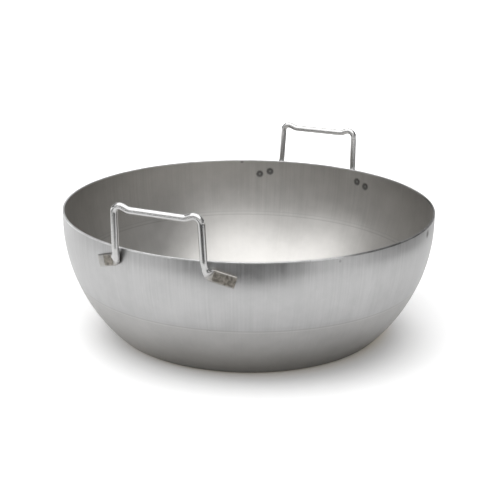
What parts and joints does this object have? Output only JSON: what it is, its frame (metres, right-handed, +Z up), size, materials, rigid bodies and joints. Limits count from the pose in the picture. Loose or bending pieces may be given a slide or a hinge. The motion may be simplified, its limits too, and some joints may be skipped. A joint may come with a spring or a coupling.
{
  "type": "deep-frying pan",
  "caption": "Round flat-bottomed pressed steel deep-frying pan with a curved wall, plain cut rim and bent-rod handles spot-welded outside, standing up above the rim",
  "frame": {"origin": "middle of the flat base, on the surface the pan stands on", "axes": "+Z up out of the bowl; the two handles stand on the Y axis, the front one at -Y and the rear one at +Y; +X to the right seen from the front handle"},
  "size_m": [0.4, 0.416, 0.1828],
  "materials": {
    "bowl_steel": "satin sheet steel with fine upright draw lines",
    "handle_steel": "bright drawn rod, heat-tinted at the flattened feet",
    "weld_steel": "dull heat-tinted weld metal"
  },
  "bodies": {
    "root": {"bowl": "bowl_steel", "front_handle": "handle_steel", "rear_handle": "handle_steel", "weld_front_left_inner": "weld_steel", "weld_front_left_outer": "weld_steel", "weld_front_right_inner": "weld_steel", "weld_front_right_outer": "weld_steel", "weld_rear_left_inner": "weld_steel", "weld_rear_left_outer": "weld_steel", "weld_rear_right_inner": "weld_steel", "weld_rear_right_outer": "weld_steel"}
  },
  "joints": []
}
